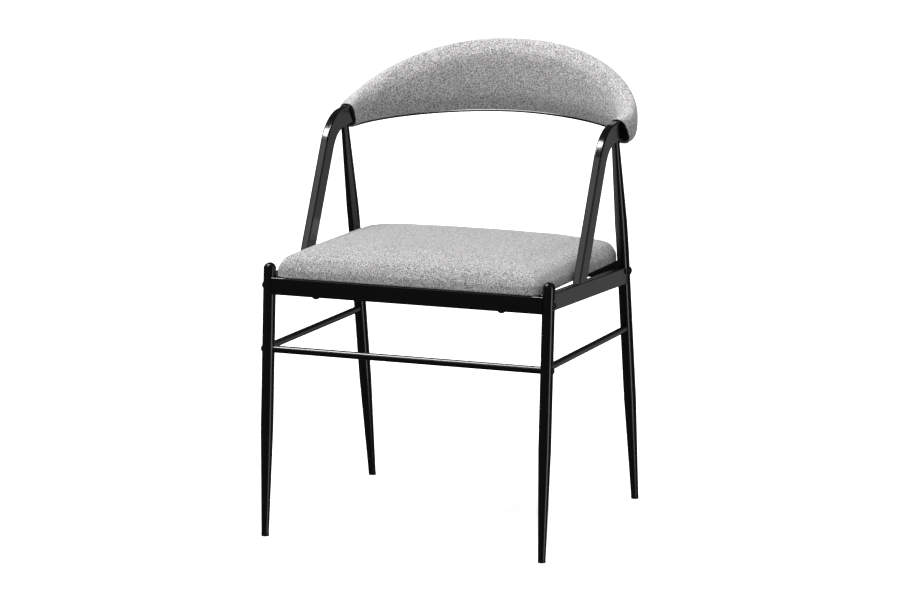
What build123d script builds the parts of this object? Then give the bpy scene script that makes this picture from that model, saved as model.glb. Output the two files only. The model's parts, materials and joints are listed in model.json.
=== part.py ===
"""Dining chair: bolted steel frame, upholstered seat and a curved padded backrest.

Millimetres, +Z up.  The chair faces -Y and left means the sitter's left, which is +X.
The origin is on the floor, under the middle of the chair's overall box.
"""
import math
import os

from build123d import *

os.makedirs("parts", exist_ok=True)

# ---- overall ------------------------------------------------------------------------------
overall_depth = 590.0
frame_half_width = 252.5            # middle plane of each welded side frame

# ---- tubes --------------------------------------------------------------------------------
leg_diameter = 22.0
leg_wall = 1.5
foot_diameter = 13.2
foot_taper_height = 188.0           # the lower taper of every leg starts here
side_rail_width = 15.0
cross_rail_width = 20.0
rail_height = 30.0
rail_wall = 1.2
rail_corner = 2.5
arm_width = 14.0
arm_depth = 34.0
arm_corner = 2.6
side_stretcher_diameter = 12.0
front_stretcher_diameter = 12.7
stretcher_wall = 1.2

# ---- front legs ---------------------------------------------------------------------------
glide_diameter = 13.6
glide_height = 4.0
front_foot_y = -overall_depth / 2 + glide_diameter / 2
front_leg_rake = 29.9               # the foot stands this far in front of the leg's top
front_leg_top_y = front_foot_y + front_leg_rake
front_leg_top_z = 461.4             # end of the tube, under its domed cap
cap_dome_height = 11.0

# ---- rear legs ----------------------------------------------------------------------------
rear_foot_y = front_leg_top_y + 456.2
rear_knee_y = front_leg_top_y + 376.1
rear_knee_z = 476.0
rear_leg_top_y = front_leg_top_y + 334.2
rear_leg_top_z = 661.6
rear_leg_bend_radius = 1200.0
rear_top_taper_z = 512.0
rear_leg_top_diameter = 14.0

# ---- rails --------------------------------------------------------------------------------
front_rail_top_z = 448.5
rear_rail_top_z = 440.6
side_rail_front_top_z = 453.2       # height of its top face in line with the front legs
side_rail_drop = 21.0               # over the depth between the front and rear legs
rail_run = 382.2                    # from the front legs back to the rear legs
side_rail_angle = math.degrees(math.atan2(side_rail_drop, rail_run))

# ---- stretchers ---------------------------------------------------------------------------
front_stretcher_z = 324.1
side_stretcher_front_z = 327.4
side_stretcher_rear_z = 319.5

# ---- arms ---------------------------------------------------------------------------------
arm_base_y = front_leg_top_y + 150.4
arm_lean = 27.5                     # degrees back from vertical
arm_bend_start_y = front_leg_top_y + 253.8
arm_bend_start_z = 637.9
arm_bend_radius = 71.6
arm_end_pitch = 5.25                # degrees above horizontal
arm_end_y = front_leg_top_y + 402.0

# ---- seat ---------------------------------------------------------------------------------
seat_width = 481.0
seat_front_y = front_leg_top_y - 8.0
seat_depth = 408.0
seat_lift = 0.35                    # the cover's underside clears the rails by this much
seat_corner = 27.0
seat_height = 51.0                  # from the rails to the crown
seat_edge_round = 25.0
seat_board_thickness = 12.0
seat_board_inset = 3.0
cover_thickness = 1.2
hem_width = 28.0
hem_thickness = 1.0

# ---- backrest -----------------------------------------------------------------------------
backrest_half_width = 257.0         # plan ellipse of its middle surface
backrest_centre_y = front_leg_top_y + 372.0
backrest_half_depth = overall_depth / 2 - 22.5 - backrest_centre_y
backrest_mouth_angle = -8.0         # where the sleeve's open end stands on the ellipse
backrest_mouth_slant = 28.0         # degrees; the open end's top is further forward
backrest_mouth_y = front_leg_top_y + 355.0
backrest_top_z = 803.4
backrest_top_fall = 108.0           # from the middle of the top edge to beyond the mouths
backrest_bottom_z = 673.9
backrest_bottom_fall = 19.0
backrest_thickness = 45.0
backrest_mouth_thickness = 26.0
backrest_board_thickness = 8.0
backrest_board_shift = -7.5         # towards the sitter from the middle surface
backrest_cover_thickness = 1.5
collar_inside = 5.0
collar_proud = 5.0
trim_width = 8.0
trim_thickness = 2.2
trim_shift = -4.0
spigot_length = 38.0
spigot_plate_thickness = 5.0
spigot_plate_height = 24.0

# ---- fasteners ----------------------------------------------------------------------------
m6_radius = 3.0
m8_radius = 4.0
hole_clearance = 0.25
m6_head_radius = 5.6
m6_head_height = 3.4
m8_head_radius = 7.2
m8_head_height = 4.4
insert_length = 24.0
spot_face_radius = 9.0
spot_face_depth = 0.9
seat_screw_x = 168.0
seat_screw_radius = 2.5
seat_screw_head_radius = 6.5
seat_screw_head_height = 5.0
seat_screw_length = 41.0
seat_screw_back = 3.0               # behind the middle of the rail, away from the board's edge
spigot_screw_radius = 2.5

# ---- fits ---------------------------------------------------------------------------------
soft_gap = 0.4                      # a soft piece stays this clear of the metal
plug_gap = 0.2                      # a plug stays this clear of its tube

front_rail_z = front_rail_top_z - rail_height / 2
rear_rail_z = rear_rail_top_z - rail_height / 2
seat_angle = math.degrees(
    math.atan2(front_rail_top_z - rear_rail_top_z, rail_run)
)

# Middle plane of the left side frame: sketch x is the chair's y, sketch y is its z.
side_plane = Plane(origin=(frame_half_width, 0, 0), x_dir=(0, 1, 0), z_dir=(1, 0, 0))


def save(piece, name):
    """Label a finished piece and write it to its own file."""
    piece.label = name
    export_step(piece, f"parts/{name}.step")


def mirrored(piece):
    """The same piece on the chair's other side."""
    with BuildPart() as twin:
        mirror(piece, about=Plane.YZ)
    return twin.part


def save_pair(left_piece, name):
    """Write a left piece and its mirror image."""
    save(left_piece, f"{name}_left")
    save(mirrored(left_piece), f"{name}_right")


def at_height(low, high, z):
    """Point on the straight axis from low to high, both (y, z), at the height z."""
    share = (z - low[1]) / (high[1] - low[1])
    return (low[0] + share * (high[0] - low[0]), z)


def revolved_bar(low, high, stations, inner=0.0):
    """Round bar or bore about the axis from low to high; stations are (height, radius)."""
    run = math.hypot(high[0] - low[0], high[1] - low[1])
    along = ((high[0] - low[0]) / run, (high[1] - low[1]) / run)
    across = (along[1], -along[0])
    axis_points = [at_height(low, high, z) for z, _ in stations]
    wall_points = [
        (p[0] + across[0] * (r - inner), p[1] + across[1] * (r - inner))
        for p, (_, r) in zip(axis_points, stations)
    ]
    with BuildPart() as bar:
        with BuildSketch(side_plane):
            with BuildLine():
                Polyline(axis_points[0], *wall_points, axis_points[-1], close=True)
            make_face()
        turn_axis = Axis((frame_half_width, low[0], low[1]), (0, along[0], along[1]))
        revolve(axis=turn_axis)
    return bar.part


# ---- leg envelopes ------------------------------------------------------------------------
front_foot = (front_foot_y, 0.0)
front_top = (front_leg_top_y, front_leg_top_z)
rear_foot = (rear_foot_y, 0.0)
rear_knee = (rear_knee_y, rear_knee_z)
rear_top = (rear_leg_top_y, rear_leg_top_z)
leg_radius = leg_diameter / 2
foot_radius = foot_diameter / 2
below_floor = 12.0

lower_angle = math.atan2(rear_foot_y - rear_knee_y, rear_knee_z)
upper_angle = math.atan2(rear_knee_y - rear_leg_top_y, rear_leg_top_z - rear_knee_z)
bend_angle = upper_angle - lower_angle
bend_tangent = rear_leg_bend_radius * math.tan(bend_angle / 2)
bend_low = (
    rear_knee_y + bend_tangent * math.sin(lower_angle),
    rear_knee_z - bend_tangent * math.cos(lower_angle),
)
bend_high = (
    rear_knee_y - bend_tangent * math.sin(upper_angle),
    rear_knee_z + bend_tangent * math.cos(upper_angle),
)
bend_centre = (
    bend_low[0] - rear_leg_bend_radius * math.cos(lower_angle),
    bend_low[1] - rear_leg_bend_radius * math.sin(lower_angle),
)


def front_leg_solid(inner=0.0):
    """Front leg without its bore, or the bore itself where inner is the wall."""
    stations = [
        (-below_floor, foot_radius),
        (0.0, foot_radius),
        (foot_taper_height, leg_radius),
        (front_leg_top_z, leg_radius),
    ]
    return revolved_bar(front_foot, front_top, stations, inner)


def rear_leg_solid(inner=0.0):
    """Rear leg without its bore: a tapered foot, a gentle bend and a tapered top."""
    lower_stations = [
        (-below_floor, foot_radius),
        (0.0, foot_radius),
        (foot_taper_height, leg_radius),
        (bend_low[1], leg_radius),
    ]
    top_radius = rear_leg_top_diameter / 2
    above_top = at_height(rear_knee, rear_top, rear_leg_top_z + below_floor)
    upper_stations = [
        (bend_high[1], leg_radius),
        (rear_top_taper_z, leg_radius),
        (rear_leg_top_z, top_radius),
        (above_top[1], top_radius),
    ]
    lower = revolved_bar(rear_foot, rear_knee, lower_stations, inner)
    upper = revolved_bar(rear_knee, rear_top, upper_stations, inner)
    section_plane = Plane(
        origin=(frame_half_width, bend_low[0], bend_low[1]),
        x_dir=(1, 0, 0),
        z_dir=(0, -math.sin(lower_angle), math.cos(lower_angle)),
    )
    bend_axis = Axis((frame_half_width, bend_centre[0], bend_centre[1]), (1, 0, 0))
    with BuildPart() as leg:
        with BuildSketch(section_plane):
            Circle(leg_radius - inner)
        revolve(axis=bend_axis, revolution_arc=math.degrees(bend_angle))
        add(lower)
        add(upper)
    return leg.part


# ---- arm path -----------------------------------------------------------------------------
lean = math.radians(arm_lean)
pitch = math.radians(arm_end_pitch)
arm_start_drop = 40.0               # the path starts below the rail's top and is trimmed to it
arm_bend_start = (arm_bend_start_y, arm_bend_start_z)
arm_path_start = (
    arm_base_y - arm_start_drop * math.sin(lean),
    arm_bend_start_z - (arm_bend_start_y - arm_base_y) / math.tan(lean)
    - arm_start_drop * math.cos(lean),
)
arm_bend_centre = (
    arm_bend_start_y + arm_bend_radius * math.cos(lean),
    arm_bend_start_z - arm_bend_radius * math.sin(lean),
)
arm_bend_end = (
    arm_bend_centre[0] - arm_bend_radius * math.sin(pitch),
    arm_bend_centre[1] + arm_bend_radius * math.cos(pitch),
)
arm_end = (arm_end_y, arm_bend_end[1] + (arm_end_y - arm_bend_end[0]) * math.tan(pitch))


def arm_solid(width, depth, corner):
    """Bar along the arm's path: up and back from the rail, then round to nearly level."""
    start_plane = Plane(
        origin=(frame_half_width, arm_path_start[0], arm_path_start[1]),
        x_dir=(1, 0, 0),
        z_dir=(0, math.sin(lean), math.cos(lean)),
    )
    turn = 90.0 - arm_lean - arm_end_pitch
    end_plane = Plane(
        origin=(frame_half_width, arm_bend_end[0], arm_bend_end[1]),
        x_dir=(1, 0, 0),
        z_dir=(0, math.cos(pitch), math.sin(pitch)),
    )
    bend_plane = Plane(
        origin=(frame_half_width, arm_bend_start[0], arm_bend_start[1]),
        x_dir=(1, 0, 0),
        z_dir=(0, math.sin(lean), math.cos(lean)),
    )
    turn_axis = Axis(
        (frame_half_width, arm_bend_centre[0], arm_bend_centre[1]), (-1, 0, 0)
    )
    straight = math.dist(arm_path_start, arm_bend_start)
    level = math.dist(arm_bend_end, arm_end)
    with BuildPart() as bar:
        with BuildSketch(start_plane):
            RectangleRounded(width, depth, corner)
        extrude(amount=straight)
        with BuildSketch(bend_plane):
            RectangleRounded(width, depth, corner)
        revolve(axis=turn_axis, revolution_arc=turn)
        with BuildSketch(end_plane):
            RectangleRounded(width, depth, corner)
        extrude(amount=level)
    return bar.part


# ---- side rail direction ------------------------------------------------------------------
rail_slope = math.radians(side_rail_angle)
side_rail_start_z = side_rail_front_top_z - rail_height / 2 / math.cos(rail_slope)
side_rail_length = rail_run / math.cos(rail_slope)


# The left side rail's top face, its normal up.
side_rail_top = Plane(
    origin=(frame_half_width, front_leg_top_y, side_rail_front_top_z),
    x_dir=(1, 0, 0),
    z_dir=(0, math.sin(rail_slope), math.cos(rail_slope)),
)


def bolt_bore(x_direction_plane, radius, length):
    """Round cutter along x for a bolt."""
    with BuildPart() as cutter:
        with BuildSketch(x_direction_plane):
            Circle(radius)
        extrude(amount=length)
    return cutter.part


def outward_plane(distance, y, z):
    """Plane facing away from the chair's middle, this far to the left of it."""
    return Plane(origin=(distance, y, z), x_dir=(0, 1, 0), z_dir=(1, 0, 0))


front_rail_y = at_height(front_foot, front_top, front_rail_z)[0]
rear_rail_y = at_height(rear_foot, rear_knee, rear_rail_z)[0]
front_stretcher_y = at_height(front_foot, front_top, front_stretcher_z)[0]
outer_face = frame_half_width + leg_radius


# ---- legs ---------------------------------------------------------------------------------
def bolted_leg(solid, bore, bolt_places):
    """Hollow leg standing on its glide, with a spot face and a hole for each bolt."""
    with BuildPart() as leg:
        add(solid)
        split(bisect_by=Plane.XY.offset(glide_height), keep=Keep.TOP)
        add(bore, mode=Mode.SUBTRACT)
        for y, z, radius in bolt_places:
            hole_start = outward_plane(frame_half_width - leg_diameter, y, z)
            add(bolt_bore(hole_start, radius + hole_clearance, 2 * leg_diameter),
                mode=Mode.SUBTRACT)
            face_start = outward_plane(outer_face - spot_face_depth, y, z)
            add(bolt_bore(face_start, spot_face_radius, leg_radius), mode=Mode.SUBTRACT)
    return leg.part


# Underside of the left arm's level end, its normal up.
arm_underside = Plane(
    origin=(
        frame_half_width,
        arm_bend_end[0] + arm_depth / 2 * math.sin(pitch),
        arm_bend_end[1] - arm_depth / 2 * math.cos(pitch),
    ),
    x_dir=(1, 0, 0),
    z_dir=(0, -math.sin(pitch), math.cos(pitch)),
)

front_envelope = front_leg_solid()
rear_envelope = rear_leg_solid()

front_bolt_places = [
    (front_rail_y, front_rail_z, m6_radius),
    (front_stretcher_y, front_stretcher_z, m6_radius),
]
save_pair(bolted_leg(front_envelope, front_leg_solid(leg_wall), front_bolt_places), "front_leg")

rear_bolt_places = [(rear_rail_y, rear_rail_z, m8_radius)]
with BuildPart() as rear_leg:
    add(bolted_leg(rear_envelope, rear_leg_solid(leg_wall), rear_bolt_places))
    split(bisect_by=arm_underside, keep=Keep.BOTTOM)
save_pair(rear_leg.part, "rear_leg")


# ---- caps and glides ----------------------------------------------------------------------
def axis_plane(low, high, z):
    """Plane across a leg's axis at the height z, its normal up along the axis."""
    y, height = at_height(low, high, z)
    return Plane(
        origin=(frame_half_width, y, height),
        x_dir=(1, 0, 0),
        z_dir=(0, high[0] - low[0], high[1] - low[1]),
    )


cap_plug_length = 12.0
glide_plug_length = 12.0
cap_rim = 1.0

cap_base = axis_plane(front_foot, front_top, front_leg_top_z)
dome_section = Plane(origin=cap_base.origin, x_dir=(1, 0, 0), z_dir=-cap_base.y_dir)
plug_radius = leg_radius - leg_wall - plug_gap
dome_rise = cap_dome_height - cap_rim
cap_dome_radius = (leg_radius ** 2 + dome_rise ** 2) / (2 * dome_rise)
with BuildPart() as cap:
    with BuildSketch(dome_section):
        with BuildLine():
            Polyline(
                (0, cap_dome_height), (0, -cap_plug_length), (plug_radius, -cap_plug_length),
                (plug_radius, 0), (leg_radius, 0), (leg_radius, cap_rim),
            )
            RadiusArc((leg_radius, cap_rim), (0, cap_dome_height), -cap_dome_radius)
        make_face()
    revolve(axis=Axis(cap_base.origin, cap_base.z_dir))
save_pair(cap.part, "front_leg_cap")

for row, foot, upper in (("front", front_foot, front_top), ("rear", rear_foot, rear_knee)):
    glide_top = axis_plane(foot, upper, glide_height)
    with BuildPart() as glide:
        with BuildSketch(glide_top.offset(3.0)):
            Circle(glide_diameter / 2)
        extrude(amount=-(glide_height + 8.0))
        split(bisect_by=Plane.XY.offset(glide_height), keep=Keep.BOTTOM)
        with BuildSketch(glide_top.offset(-2.0)):
            Circle(foot_radius - leg_wall - plug_gap)
        extrude(amount=glide_plug_length)
        split(bisect_by=Plane.XY, keep=Keep.TOP)
    save_pair(glide.part, f"{row}_glide")


# ---- welded side frames: rail, stretcher and arm ------------------------------------------
rail_start = Plane(
    origin=(frame_half_width, front_leg_top_y, side_rail_start_z),
    x_dir=(1, 0, 0),
    z_dir=(0, math.cos(rail_slope), -math.sin(rail_slope)),
)
with BuildPart() as side_rail:
    with BuildSketch(rail_start):
        RectangleRounded(side_rail_width, rail_height, rail_corner)
        RectangleRounded(
            side_rail_width - 2 * rail_wall, rail_height - 2 * rail_wall,
            rail_corner - rail_wall, mode=Mode.SUBTRACT,
        )
    extrude(amount=side_rail_length)
    add(front_envelope, mode=Mode.SUBTRACT)
    add(rear_envelope, mode=Mode.SUBTRACT)
save_pair(side_rail.part, "side_rail")

stretcher_start = at_height(front_foot, front_top, side_stretcher_front_z)
stretcher_end = at_height(rear_foot, rear_knee, side_stretcher_rear_z)
stretcher_plane = Plane(
    origin=(frame_half_width, stretcher_start[0], stretcher_start[1]),
    x_dir=(1, 0, 0),
    z_dir=(0, stretcher_end[0] - stretcher_start[0], stretcher_end[1] - stretcher_start[1]),
)
with BuildPart() as side_stretcher:
    with BuildSketch(stretcher_plane):
        Circle(side_stretcher_diameter / 2)
        Circle(side_stretcher_diameter / 2 - stretcher_wall, mode=Mode.SUBTRACT)
    extrude(amount=math.dist(stretcher_start, stretcher_end))
    add(front_envelope, mode=Mode.SUBTRACT)
    add(rear_envelope, mode=Mode.SUBTRACT)
save_pair(side_stretcher.part, "side_stretcher")

arm_bore = arm_solid(
    arm_width - 2 * rail_wall, arm_depth - 2 * rail_wall, arm_corner - rail_wall
)
with BuildPart() as arm:
    add(arm_solid(arm_width, arm_depth, arm_corner))
    add(arm_bore, mode=Mode.SUBTRACT)
    split(bisect_by=side_rail_top, keep=Keep.TOP)
save_pair(arm.part, "arm")


# ---- cross rails and front stretcher ------------------------------------------------------
cross_rail_reach = frame_half_width - side_rail_width / 2 - 0.1


def cross_rail(y, z, leg_envelope, screw_holes_x):
    """Rectangular tube from leg to leg, coped to both legs, drilled for the seat screws."""
    with BuildPart() as rail:
        with BuildSketch(outward_plane(-cross_rail_reach, y, z)):
            RectangleRounded(cross_rail_width, rail_height, rail_corner)
            RectangleRounded(
                cross_rail_width - 2 * rail_wall, rail_height - 2 * rail_wall,
                rail_corner - rail_wall, mode=Mode.SUBTRACT,
            )
        extrude(amount=2 * cross_rail_reach)
        add(leg_envelope, mode=Mode.SUBTRACT)
        add(mirrored(leg_envelope), mode=Mode.SUBTRACT)
        with BuildSketch(Plane.XY.offset(z - rail_height)):
            with Locations(*[(x, y + seat_screw_back) for x in screw_holes_x]):
                Circle(seat_screw_radius + hole_clearance)
        extrude(amount=2 * rail_height, mode=Mode.SUBTRACT)
    return rail.part


screw_xs = (-seat_screw_x, seat_screw_x)
save(cross_rail(front_rail_y, front_rail_z, front_envelope, screw_xs), "front_rail")
save(cross_rail(rear_rail_y, rear_rail_z, rear_envelope, screw_xs), "rear_rail")

with BuildPart() as front_stretcher:
    with BuildSketch(outward_plane(-frame_half_width, front_stretcher_y, front_stretcher_z)):
        Circle(front_stretcher_diameter / 2)
        Circle(front_stretcher_diameter / 2 - stretcher_wall, mode=Mode.SUBTRACT)
    extrude(amount=2 * frame_half_width)
    add(front_envelope, mode=Mode.SUBTRACT)
    add(mirrored(front_envelope), mode=Mode.SUBTRACT)
save(front_stretcher.part, "front_stretcher")


# ---- threaded inserts and bolts -----------------------------------------------------------
insert_outer_x = frame_half_width - leg_radius - 1.0


def both_sides(left_piece):
    """A left piece and its mirror image as one group of two solids."""
    with BuildPart() as pair:
        add(left_piece)
        mirror(left_piece, about=Plane.YZ)
    return pair.part


def rail_inserts(y, z, bolt_radius):
    """Threaded block inside each end of a cross rail."""
    with BuildPart() as insert:
        with BuildSketch(outward_plane(insert_outer_x, y, z)):
            RectangleRounded(
                cross_rail_width - 2 * rail_wall - 0.2, rail_height - 2 * rail_wall - 0.2,
                rail_corner - rail_wall + 0.2,
            )
            Circle(bolt_radius + 0.05, mode=Mode.SUBTRACT)
        extrude(amount=-insert_length)
    return both_sides(insert.part)


def domed_head(plane, radius, height, socket_radius):
    """Button head with a hexagon socket, standing on the plane."""
    section = Plane(origin=plane.origin, x_dir=plane.x_dir, z_dir=-plane.y_dir)
    with BuildPart() as head:
        with BuildSketch(section):
            with BuildLine():
                Line((0, 0), (radius, 0))
                Line((radius, 0), (radius, height * 0.2))
                EllipticalCenterArc(
                    (0, height * 0.2), radius, height * 0.8, start_angle=0, arc_size=90
                )
                Line((0, height), (0, 0))
            make_face()
        revolve(axis=Axis(plane.origin, plane.z_dir))
        with BuildSketch(plane.offset(height * 0.4)):
            RegularPolygon(socket_radius, 6)
        extrude(amount=height, mode=Mode.SUBTRACT)
    return head.part


def side_bolts(y, z, bolt_radius, head_radius, head_height):
    """One bolt through each leg, its head on the leg's spot face."""
    seat_x = outer_face - spot_face_depth
    reach = seat_x - insert_outer_x + insert_length * 0.75
    head_plane = outward_plane(seat_x, y, z)
    with BuildPart() as bolt:
        add(domed_head(head_plane, head_radius, head_height, bolt_radius * 0.66))
        with BuildSketch(head_plane):
            Circle(bolt_radius)
        extrude(amount=-reach)
    return both_sides(bolt.part)


save(rail_inserts(front_rail_y, front_rail_z, m6_radius), "front_rail_inserts")
save(rail_inserts(rear_rail_y, rear_rail_z, m8_radius), "rear_rail_inserts")
save(
    side_bolts(front_rail_y, front_rail_z, m6_radius, m6_head_radius, m6_head_height),
    "front_rail_bolts",
)
save(
    side_bolts(rear_rail_y, rear_rail_z, m8_radius, m8_head_radius, m8_head_height),
    "rear_rail_bolts",
)
save(
    side_bolts(front_stretcher_y, front_stretcher_z, m6_radius, m6_head_radius, m6_head_height),
    "stretcher_bolts",
)

with BuildPart() as stretcher_insert:
    with BuildSketch(outward_plane(insert_outer_x, front_stretcher_y, front_stretcher_z)):
        Circle(front_stretcher_diameter / 2 - stretcher_wall - 0.1)
        Circle(m6_radius + 0.05, mode=Mode.SUBTRACT)
    extrude(amount=-insert_length)
save(both_sides(stretcher_insert.part), "stretcher_inserts")


# ---- seat ---------------------------------------------------------------------------------
seat_slope = math.radians(seat_angle)


def seat_underside_z(y):
    """Height of the seat's underside, just above the rails."""
    return front_rail_top_z + seat_lift - (y - front_leg_top_y) * math.tan(seat_slope)


seat_base = Plane(
    origin=(0, seat_front_y, seat_underside_z(seat_front_y)),
    x_dir=(1, 0, 0),
    z_dir=(0, math.sin(seat_slope), math.cos(seat_slope)),
)


def seat_plane(height):
    """Plane parallel to the seat's underside, its origin in the middle of the seat."""
    middle = seat_base.offset(height)
    return Plane(
        origin=middle.origin + middle.y_dir * (seat_depth / 2),
        x_dir=(1, 0, 0),
        z_dir=middle.z_dir,
    )


def seat_block(inset, bottom, top, top_round):
    """Rounded block on the seat's outline, inset all round."""
    with BuildPart() as block:
        with BuildSketch(seat_plane(bottom)):
            RectangleRounded(
                seat_width - 2 * inset, seat_depth - 2 * inset, seat_corner - inset
            )
        extrude(amount=top - bottom)
        if top_round > 0:
            top_edges = block.faces().sort_by(Axis.Z)[-1].edges()
            fillet(top_edges, radius=top_round)
    return block.part


foam_bottom = hem_thickness + seat_board_thickness
seat_outer = seat_block(0.0, 0.0, seat_height, seat_edge_round)
seat_inner = seat_block(
    cover_thickness, hem_thickness, seat_height - cover_thickness,
    seat_edge_round - cover_thickness,
)

screw_spots = []
for rail_y, rail_z in ((front_rail_y, front_rail_z), (rear_rail_y, rear_rail_z)):
    for x in screw_xs:
        screw_spots.append((x, rail_y + seat_screw_back, rail_z - rail_height / 2))


def screw_holes(radius):
    """Upright cutters on the seat screws' axes."""
    with BuildPart() as cutters:
        for x, y, z in screw_spots:
            with BuildSketch(Plane(origin=(x, y, z))):
                Circle(radius)
            extrude(amount=seat_screw_length + 1.0)
    return cutters.part


with BuildPart() as seat_cover:
    add(seat_outer)
    add(seat_inner, mode=Mode.SUBTRACT)
    with BuildSketch(seat_plane(-1.0)):
        RectangleRounded(seat_width - 2 * hem_width, seat_depth - 2 * hem_width, 8.0)
    extrude(amount=hem_thickness + 2.0, mode=Mode.SUBTRACT)
    add(screw_holes(seat_screw_radius + hole_clearance), mode=Mode.SUBTRACT)
save(seat_cover.part, "seat_cover")

with BuildPart() as dust_cover:
    with BuildSketch(seat_plane(0.2)):
        RectangleRounded(seat_width - 2 * hem_width - 1, seat_depth - 2 * hem_width - 1, 7.5)
    extrude(amount=hem_thickness - 0.2)
save(dust_cover.part, "seat_dust_cover")

with BuildPart() as seat_board:
    add(seat_block(seat_board_inset, hem_thickness, foam_bottom - 0.1, 0.0))
    add(screw_holes(seat_screw_radius + 0.05), mode=Mode.SUBTRACT)
save(seat_board.part, "seat_board")

with BuildPart() as seat_screws:
    for x, y, z in screw_spots:
        head_plane = Plane(origin=(x, y, z), x_dir=(1, 0, 0), z_dir=(0, 0, -1))
        add(domed_head(head_plane, seat_screw_head_radius, seat_screw_head_height, 2.0))
        with BuildSketch(head_plane):
            Circle(seat_screw_radius)
        extrude(amount=-seat_screw_length)
save(seat_screws.part, "seat_screws")

with BuildPart() as seat_foam:
    add(seat_block(
        cover_thickness + soft_gap, foam_bottom, seat_height - cover_thickness - soft_gap,
        seat_edge_round - cover_thickness,
    ))
save(seat_foam.part, "seat_foam")


# ---- backrest -----------------------------------------------------------------------------
quarter_turn = 90.0


def backrest_share(angle):
    """0 in the middle of the backrest and 1 at a sleeve's mouth."""
    return abs(angle - quarter_turn) / (quarter_turn - backrest_mouth_angle)


def backrest_point(angle):
    """Point of the middle surface's plan ellipse."""
    turn = math.radians(angle)
    return (
        backrest_half_width * math.cos(turn),
        backrest_centre_y + backrest_half_depth * math.sin(turn),
    )


def backrest_section_plane(angle, shift, z):
    """Upright plane across the backrest; its x points outwards, its y points up."""
    turn = math.radians(angle)
    along = Vector(
        -backrest_half_width * math.sin(turn), backrest_half_depth * math.cos(turn), 0
    ).normalized()
    outward = Vector(along.Y, -along.X, 0)
    x, y = backrest_point(angle)
    return Plane(
        origin=(x + outward.X * shift, y + outward.Y * shift, z),
        x_dir=outward,
        z_dir=outward.cross(Vector(0, 0, 1)),
    )


def backrest_edges(angle):
    """Bottom and top heights of the backrest at an angle round its ellipse."""
    turned = abs(angle - quarter_turn)
    ease = (turned / 104.0) ** 1.168
    top = backrest_top_z - backrest_top_fall * ease ** 2 * (3 - 2 * ease)
    swing = math.sin(math.radians(min(turned * 0.918, 90.0)))
    return backrest_bottom_z - backrest_bottom_fall * swing ** 1.756, top


def backrest_depth(angle):
    """Padded thickness at an angle round the ellipse."""
    share = backrest_share(angle)
    return backrest_thickness - (backrest_thickness - backrest_mouth_thickness) * share ** 2


def backrest_loft(first_angle, sections, size, shift=0.0):
    """Loft from mouth to mouth; size gives each section's (thickness, bottom, top)."""
    step = (quarter_turn - first_angle) * 2 / (sections - 1)
    with BuildPart() as body:
        for k in range(sections):
            angle = first_angle + step * k
            thickness, bottom, top = size(angle)
            with BuildSketch(backrest_section_plane(angle, shift, (bottom + top) / 2)):
                corner = min(thickness, top - bottom) * 0.42
                RectangleRounded(thickness, top - bottom, corner)
        loft()
    return body.part


def cover_size(angle):
    bottom, top = backrest_edges(angle)
    return backrest_depth(angle), bottom, top


def foam_size(angle):
    bottom, top = backrest_edges(angle)
    skin = backrest_cover_thickness
    return backrest_depth(angle) - 2 * skin, bottom + skin, top - skin


def board_size(angle):
    bottom, top = backrest_edges(angle)
    margin = 12.0
    return backrest_board_thickness, bottom + margin, top - margin


def trim_size(angle):
    bottom, _ = backrest_edges(angle)
    return trim_width, bottom - trim_thickness - 0.1, bottom - 0.1


backrest_sections = 15


def mouth_cut(offset):
    """Slanted plane across both open ends, this far behind them; its normal points back."""
    slant = math.radians(backrest_mouth_slant)
    bottom, top = backrest_edges(backrest_mouth_angle)
    return Plane(
        origin=(0, backrest_mouth_y, (bottom + top) / 2),
        x_dir=(1, 0, 0),
        z_dir=(0, math.cos(slant), math.sin(slant)),
    ).offset(offset)


cover_block = backrest_loft(backrest_mouth_angle - 10.0, backrest_sections, cover_size)
cavity_block = backrest_loft(backrest_mouth_angle - 12.0, backrest_sections, foam_size)
with BuildPart() as backrest_cover:
    add(cover_block)
    add(cavity_block, mode=Mode.SUBTRACT)
    split(bisect_by=mouth_cut(0.0), keep=Keep.TOP)
save(backrest_cover.part, "backrest_cover")

board_first_angle = 16.0
backrest_board = backrest_loft(board_first_angle, 9, board_size, backrest_board_shift)

trim_first_angle = 2.0
trim = backrest_loft(trim_first_angle, backrest_sections, trim_size, trim_shift)
save(trim, "backrest_trim")


# ---- arm clearance, collars and spigots ---------------------------------------------------
arm_clearance = arm_solid(arm_width + 2 * soft_gap, arm_depth + 2 * soft_gap, arm_corner)


def foam_inner_size(angle):
    thickness, bottom, top = foam_size(angle)
    return thickness - 2 * soft_gap, bottom + soft_gap, top - soft_gap


foam_block = backrest_loft(backrest_mouth_angle - 12.0, backrest_sections, foam_inner_size)
with BuildPart() as collar:
    add(foam_block)
    split(bisect_by=mouth_cut(-collar_proud), keep=Keep.TOP)
    split(bisect_by=mouth_cut(collar_inside), keep=Keep.BOTTOM)
    split(bisect_by=Plane.YZ, keep=Keep.TOP)
    add(arm_clearance, mode=Mode.SUBTRACT)
save_pair(collar.part, "backrest_collar")

spigot_start = Plane(
    origin=(frame_half_width, arm_end[0], arm_end[1]),
    x_dir=(1, 0, 0),
    z_dir=(0, math.cos(pitch), math.sin(pitch)),
)
plate_x = frame_half_width - 3.0
plate_path = [
    (plate_x, arm_end_y - 4.0),
    (plate_x, arm_end_y + 2.0),
    (plate_x - 27.5, arm_end_y + 50.0),
]


def spigot_plate(thickness, height, corner_radius):
    """Upright strip of steel bent in plan, from the arm's end on to the backrest board."""
    with BuildPart() as plate:
        with BuildSketch(Plane.XY.offset(arm_end[1] - height / 2)):
            with BuildLine():
                FilletPolyline(*plate_path, radius=corner_radius)
            trace(line_width=thickness)
        extrude(amount=height)
    return plate.part


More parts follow.
